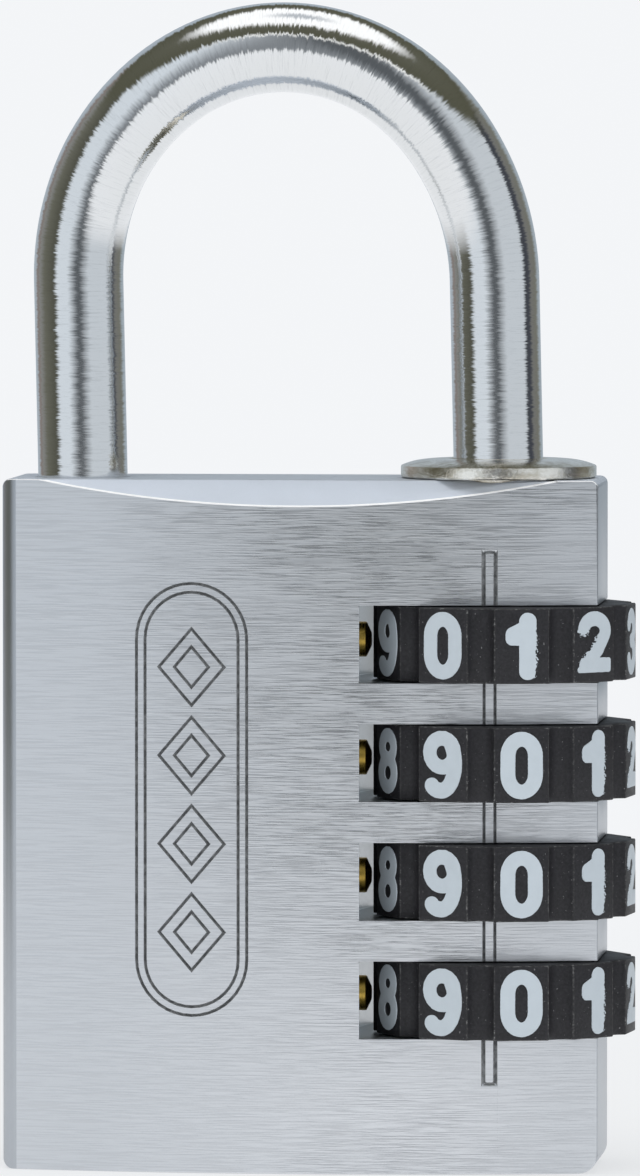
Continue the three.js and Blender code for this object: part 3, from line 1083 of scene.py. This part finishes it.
def stroke_field(digit, xs, ys):
    """The distance to the strokes' edge on a grid, negative inside."""
    px, py = np.meshgrid(xs, ys, indexing="ij")
    far_away = 9.0
    nearest = np.full(px.shape, far_away)
    for half_width, points in digit_strokes[digit]:
        for (ax, ay), (bx, by) in zip(points, points[1:]):
            length = (bx - ax) ** 2 + (by - ay) ** 2
            share = np.clip(((px - ax) * (bx - ax) + (py - ay) * (by - ay)) / length, 0, 1)
            gap = np.hypot(px - ax - share * (bx - ax), py - ay - share * (by - ay))
            nearest = np.minimum(nearest, gap - half_width)
    waver = 0.004 * np.sin(9 * px + 4 * py) + 0.004 * np.sin(23 * py - 11 * px)
    return nearest + waver + ragged(px, py, digit)


# The sides of a grid cell (bottom, right, top, left) that an outline crosses, from one to the
# other, for each set of the cell's corners that lie inside the stroke.
crossings = {
    1: ["BL"], 2: ["RB"], 3: ["RL"], 4: ["TR"], 5: ["BL", "TR"], 6: ["TB"], 7: ["TL"],
    8: ["LT"], 9: ["BT"], 10: ["RB", "LT"], 11: ["RT"], 12: ["LR"], 13: ["BR"], 14: ["LB"],
}


def outlines(field, xs, ys):
    """Closed outlines where the field passes through zero, from one grid cell to the next."""
    sides = {"B": ((0, 0), (1, 0)), "R": ((1, 0), (1, 1)), "T": ((0, 1), (1, 1)), "L": ((0, 0), (0, 1))}
    following = {}
    for i in range(len(xs) - 1):
        for j in range(len(ys) - 1):
            inside = [field[i, j], field[i + 1, j], field[i + 1, j + 1], field[i, j + 1]]
            case = sum(1 << bit for bit, value in enumerate(inside) if value < 0)
            for way in crossings.get(case, []):
                keys = [tuple((i + di, j + dj) for di, dj in sides[letter]) for letter in way]
                following[keys[0]] = keys[1]
    loops = []
    while following:
        key = next(iter(following))
        loop = []
        while key in following:
            (i0, j0), (i1, j1) = key
            share = field[i0, j0] / (field[i0, j0] - field[i1, j1])
            x = xs[i0] + share * (xs[i1] - xs[i0])
            y = ys[j0] + share * (ys[j1] - ys[j0])
            loop.append((x, y))
            key = following.pop(key)
        loops.append(loop)
    return loops


# %% From outline to raised digit
paint_height = 0.03 * MM
paint_edge = 0.02 * MM
digit_squash = 0.98
grid_step = 0.05


def digit_mesh(digit):
    """A raised digit, filled between its outlines, with a small rounded edge."""
    xs = np.arange(-1.8, 1.81, grid_step)
    ys = np.arange(-2.6, 2.61, grid_step)
    curve = bpy.data.curves.new(f"digit_{digit}", "CURVE")
    curve.dimensions = "2D"
    curve.fill_mode = "BOTH"
    curve.extrude = paint_height
    curve.bevel_depth = paint_edge
    curve.bevel_resolution = 1
    curve.offset = -paint_edge
    for loop in outlines(stroke_field(digit, xs, ys), xs, ys):
        spline = curve.splines.new("POLY")
        spline.points.add(len(loop) - 1)
        for point, (x, y) in zip(spline.points, loop):
            point.co = (x * MM, digit_squash * y * MM, 0, 1)
        spline.use_cyclic_u = True
    drawn = bpy.data.objects.new(f"digit_{digit}", curve)
    bpy.context.scene.collection.objects.link(drawn)
    graph = bpy.context.evaluated_depsgraph_get()
    mesh = bpy.data.meshes.new_from_object(drawn.evaluated_get(graph))
    bpy.data.objects.remove(drawn)
    return mesh


digit_meshes = {digit: digit_mesh(digit) for digit in digit_strokes}
print("faces in digit 8:", len(digit_meshes[8].polygons))


# %% Set the digits on the facets
def facet_place(turn, z):
    """Where a facet's middle is, with X along it, Y up and Z outwards."""
    apothem = wheel_corner_radius * math.cos(facet_half_angle)
    outward = Vector((math.sin(turn), -math.cos(turn), 0))
    sideways = Vector((math.cos(turn), math.sin(turn), 0))
    spot = Vector((wheel_axis.x, wheel_axis.y, z)) + outward * apothem
    columns = Matrix((sideways, Vector((0, 0, 1)), outward)).transposed()
    return Matrix.Translation(spot) @ columns.to_4x4()


def ring_of_digits(name, front_digit):
    """All ten digits of a wheel, counting up to the right from the one in front."""
    shape = bmesh.new()
    for k in range(facet_count):
        mesh = digit_meshes[(front_digit + k) % 10].copy()
        mesh.transform(facet_place(wheel_phase + k * facet_step, wheel_z[name]))
        shape.from_mesh(mesh)
        bpy.data.meshes.remove(mesh)
    return make_object(f"wheel_digits_{name}", shape)


front_digits = {"1": 1, "2": 0, "3": 0, "4": 0}
digits = {name: ring_of_digits(name, front_digits[name]) for name in wheel_names}
for name in wheel_names:
    digits[name].data.materials.append(paint)
    smooth_below(digits[name], 35)
    for part in (wheels[name], digits[name]):
        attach(part, f"wheel_{name}")
    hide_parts(f"dial_wheel_{name}")

# %% [markdown]
# ## Pins, springs and the parts inside
# A brass pin looks out of each slot's wall. It is turned, so it is drawn as a profile with a
# broken edge before the cone. Behind it sits a coil spring. The sleeves, washer and plug keep
# the frame's own shapes: they only get a machined finish and softened edges.

# %% Brass pins
def pin_profile():
    """(radius, along) points from the back of a pin to its blunt cone."""
    radius, nose_radius, nose, edge = pin_radius, 0.5 * MM, 0.34 * MM, 0.05 * MM
    back, tip = pin_low.x, pin_high.x
    profile = [(0, back), (radius - edge, back), (radius, back + edge)]
    profile += [(radius, tip - nose - edge), (radius - edge * 0.6, tip - nose + edge * 0.4)]
    profile += [(nose_radius + edge * 0.6, tip - edge * 0.7), (nose_radius - edge, tip), (0, tip)]
    return profile


yellow, tarnished = (0.62, 0.43, 0.10), (0.40, 0.26, 0.05)
lathe_rings = (16000, 900, 900)
brass = grained("turned_brass", yellow, tarnished, (0.22, 0.4), lathe_rings, 1100, bump=0.3, Metallic=1.0)
for name in wheel_names:
    centre = (0, pin_y, pin_z[name])
    pin = make_object(f"brass_pin_{name}", turned(pin_profile(), centre, "X", 48))
    smooth_below(pin, 35)
    pin.data.materials.append(brass)
    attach(pin, f"detent_{name}")
    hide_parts(f"detent_pin_{name}")


# %% Coil springs
def coil(length, radius, wire, turns, steps_per_turn=28, sides=10):
    """A spring along +Z from 0: the end turns lie close, the middle ones are open."""
    shape = bmesh.new()
    steps = turns * steps_per_turn
    closeness = 0.6
    rings = []
    for i in range(steps + 1):
        share = i / steps
        turn = 2 * math.pi * turns * share
        eased = share - math.sin(2 * math.pi * share) / (2 * math.pi) * closeness
        z = wire + (length - 2 * wire) * eased
        centre = Vector((radius * math.cos(turn), radius * math.sin(turn), z))
        out = Vector((math.cos(turn), math.sin(turn), 0))
        ring = []
        for k in range(sides):
            swing = 2 * math.pi * k / sides
            way = out * math.cos(swing) + Vector((0, 0, math.sin(swing)))
            ring.append(shape.verts.new(centre + wire * way))
        rings.append(ring)
    add_skin(shape, rings)
    shape.faces.new(rings[0])
    shape.faces.new(rings[-1])
    return shape


steel, dull_steel = (0.52, 0.53, 0.55), (0.40, 0.40, 0.42)
wire_finish = grained("drawn_wire", steel, dull_steel, (0.22, 0.38), 4000, detail=4, bump=0.2, Metallic=1.0)


def add_spring(name, node, shape):
    spring = make_object(name, shape)
    smooth_below(spring, 50)
    spring.data.materials.append(wire_finish)
    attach(spring, "root")
    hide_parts(node)


pin_spring_radius, pin_spring_wire = 0.85 * MM, 0.16 * MM
stack_spring_radius, stack_spring_wire = 3.5 * MM, 0.35 * MM
for name in wheel_names:
    low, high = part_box(f"detent_spring_{name}")
    shape = coil(high.x - low.x, pin_spring_radius, pin_spring_wire, turns=5)
    shape.transform(Matrix.Rotation(math.pi / 2, 4, "Y"))
    shape.transform(Matrix.Translation((low.x, pin_y, pin_z[name])))
    add_spring(f"pin_spring_{name}", f"detent_spring_{name}", shape)
low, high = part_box("clutch_spring")
shape = coil(high.z - low.z, stack_spring_radius, stack_spring_wire, turns=3, steps_per_turn=48)
shape.transform(Matrix.Translation((leg_x, 0, low.z)))
add_spring("stack_spring", "clutch_spring", shape)

# %% Finish the parts inside
softened_edge = 0.06 * MM
machined = satin_metal("machined_steel", steel, 0.30, 4000)
inner_nodes = ["thrust_washer", "base_plug"] + [f"clutch_sleeve_{name}" for name in wheel_names]
for node in inner_nodes:
    part = frame["nodes"][node]
    part.data.materials.clear()
    part.data.materials.append(body_finishes["side"] if node == "base_plug" else machined)
    bevel = part.modifiers.new("broken edges", "BEVEL")
    bevel.width = softened_edge
    bevel.segments = 2
    bevel.limit_method = "ANGLE"
    bevel.angle_limit = math.radians(35)
print("inner parts finished:", len(inner_nodes))

# %% [markdown]
# ## Studio
# Bright metal only looks right in the right room. The room here is a light tent of white cloth:
# two white walls left and right of the camera with a narrow gap between them, dark beyond them, a
# white ceiling and a pale table. Real walls of cloth would do, but they get in the way of other
# views, so the tent is painted on the world by direction alone. The camera itself sees a plain
# pale backdrop.

# %% World
def ramp(tree, value, stops):
    """A colour that runs along a value through (position, colour) stops; a plain level is a grey."""
    node = add_node(tree, "ShaderNodeValToRGB", Fac=value)
    elements = node.color_ramp.elements
    while len(elements) < len(stops):
        elements.new(1.0)
    for element, (position, colour) in zip(elements, stops):
        element.position = position
        element.color = (*colour, 1) if isinstance(colour, tuple) else (colour, colour, colour, 1)
    return node.outputs["Color"]


def round_stops(stops):
    """Stops on a ramp that runs all the way round, with the camera's side in the middle."""
    return [((angle + 180) / 360, colour) for angle, colour in stops]


def up_stops(stops):
    """Stops on a ramp that runs from straight down to straight up."""
    return [((angle + 90) / 180, colour) for angle, colour in stops]


camera_turn = math.radians(5.3)
wall_stops = [
    (-180, (0.42, 0.48, 0.54)), (-146, (0.42, 0.47, 0.52)), (-133, (0.24, 0.20, 0.18)),
    (-120, (0.26, 0.26, 0.25)), (-100, (0.15, 0.15, 0.12)), (-66, (0.09, 0.09, 0.07)),
    (-56, (0.72, 0.77, 0.82)), (-27, (0.72, 0.77, 0.82)), (-12, (0.28, 0.30, 0.32)),
    (-5, (0.11, 0.12, 0.13)), (4, (0.11, 0.12, 0.13)), (12, (0.32, 0.34, 0.36)),
    (27, (0.62, 0.66, 0.70)), (78, (0.62, 0.66, 0.70)), (86, (0.06, 0.065, 0.075)),
    (98, (0.06, 0.065, 0.08)), (107, (0.19, 0.19, 0.18)), (130, (0.19, 0.19, 0.16)),
    (146, (0.36, 0.41, 0.45)), (180, (0.42, 0.48, 0.54)),
]
ceiling_stops = [
    (39, (0.10, 0.10, 0.07)), (57, (0.12, 0.12, 0.09)), (65, (1.2, 1.2, 1.2)),
    (79, (1.2, 1.2, 1.2)), (86, (0.55, 0.58, 0.62)), (90, (0.55, 0.58, 0.62)),
]


def light_tent():
    world = bpy.data.worlds.new("light_tent")
    bpy.context.scene.world = world
    world.use_nodes = True
    tree = world.node_tree
    every_way = add_node(tree, "ShaderNodeTexCoord").outputs["Generated"]
    turned_tent = place(tree, 1, (0, 0, -camera_turn), every_way)
    direction = add_node(tree, "ShaderNodeSeparateXYZ", Vector=turned_tent)
    x, y, z = (direction.outputs[axis] for axis in "XYZ")
    round_angle = calculate(tree, "ARCTAN2", x, multiply(tree, y, -1.0))
    round_share = calculate(tree, "MULTIPLY_ADD", round_angle, 0.5 / math.pi, 0.5)
    up_share = calculate(tree, "MULTIPLY_ADD", calculate(tree, "ARCSINE", z), 1 / math.pi, 0.5)
    walls = ramp(tree, round_share, round_stops(wall_stops))
    ceiling = ramp(tree, up_share, up_stops(ceiling_stops))
    roof = ramp(tree, up_share, up_stops([(32, 0), (38, 1)]))
    tent = blend_colours(tree, roof, walls, ceiling)
    ahead = ramp(tree, round_share, round_stops([(-32, 0), (-18, 1), (18, 1), (32, 0)]))
    strip = ramp(tree, up_share, up_stops([(31.5, 0), (33, 1), (35.5, 1), (37, 0)]))
    tent = blend_colours(tree, multiply(tree, ahead, strip), tent, (1.1, 1.1, 1.08))
    seen = add_node(tree, "ShaderNodeLightPath").outputs["Is Camera Ray"]
    feed(tree, tree.nodes["Background"], Color=blend_colours(tree, seen, tent, backdrop), Strength=1.0)


backdrop = (0.90, 0.915, 0.935)
light_tent()

# %% [markdown]
# ## Table and lamps
# The table is a pale disc. Close to the lock it takes soft shadows, and further out it glows like
# the backdrop, so that no horizon shows. Its rim then turns clear, sooner to the left and right
# than in front, so that the metal's sides mirror less of it. Both depend on the distance from the
# lock alone. The lamps stay out of the reflections, which come from the tent.

# %% Table and lamps
table_radius = 1.1
table_gap = 0.02 * MM
fade_start, fade_end = 0.05, 0.26
rim_start, rim_end = 0.55, 1.05


def table_finish():
    finish, tree, shader = new_finish("pale_table", Roughness=0.8, Base_Color=(0.86, 0.865, 0.87, 1))
    far = vector_step(tree, "LENGTH", place(tree, 1)).outputs["Value"]
    far_oval = vector_step(tree, "LENGTH", place(tree, (2.6, 1, 1))).outputs["Value"]
    glow = add_node(tree, "ShaderNodeEmission", Color=(*backdrop, 1))
    clear = add_node(tree, "ShaderNodeBsdfTransparent")
    glow_share = remap(tree, far, fade_start, fade_end, 0.7, 1.0)
    faded = add_node(tree, "ShaderNodeMixShader", Fac=glow_share)
    tree.links.new(shader.outputs["BSDF"], faded.inputs[1])
    tree.links.new(glow.outputs["Emission"], faded.inputs[2])
    rim = add_node(tree, "ShaderNodeMixShader", Fac=remap(tree, far_oval, rim_start, rim_end))
    tree.links.new(faded.outputs["Shader"], rim.inputs[1])
    tree.links.new(clear.outputs["BSDF"], rim.inputs[2])
    feed(tree, tree.nodes["Material Output"], Surface=rim.outputs["Shader"])
    return finish


table_shape = bmesh.new()
bmesh.ops.create_circle(table_shape, cap_ends=True, segments=96, radius=table_radius)
table = make_object("pale_table", table_shape)
table.location.z = -table_gap
table.data.materials.append(table_finish())


def add_lamp(name, place_at, size, power, aim=(0, 0, 0.03)):
    lamp = bpy.data.lights.new(name, "AREA")
    lamp.shape = "SQUARE"
    lamp.size = size
    lamp.energy = power
    made = bpy.data.objects.new(name, lamp)
    bpy.context.scene.collection.objects.link(made)
    made.location = place_at
    made.rotation_euler = (Vector(aim) - Vector(place_at)).to_track_quat("-Z", "Y").to_euler()
    made.visible_glossy = False
    return made


add_lamp("overhead_softbox", (-0.1, -0.15, 0.9), 0.8, 5)
add_lamp("front_softbox", (0.3, -0.75, 0.32), 0.4, 1.5)

# %% [markdown]
# ## Camera
# The lock is seen almost square on, from a little to the right and a little above, through a long
# lens from 80 cm. A longer distance would lose the slight spread between the top and the lowest
# wheel, where more of the upper faces shows lower down.

# %% Set the camera
camera_distance = 0.8
camera_rise = math.radians(2.6)
look_at = Vector((0.98 * MM, 0, 38.8 * MM))
view_height = 78.9 * MM
sensor = 36.0

camera_data = bpy.data.cameras.new("camera")
camera_data.sensor_width = sensor
camera_data.lens = sensor * camera_distance / view_height
camera_data.clip_start = 0.01
camera = bpy.data.objects.new("camera", camera_data)
bpy.context.scene.collection.objects.link(camera)
away = Vector((math.sin(camera_turn), -math.cos(camera_turn), math.tan(camera_rise)))
camera.location = look_at + away.normalized() * camera_distance
camera.rotation_euler = (look_at - camera.location).to_track_quat("-Z", "Y").to_euler()
bpy.context.scene.camera = camera
bpy.context.scene.view_settings.view_transform = "Standard"
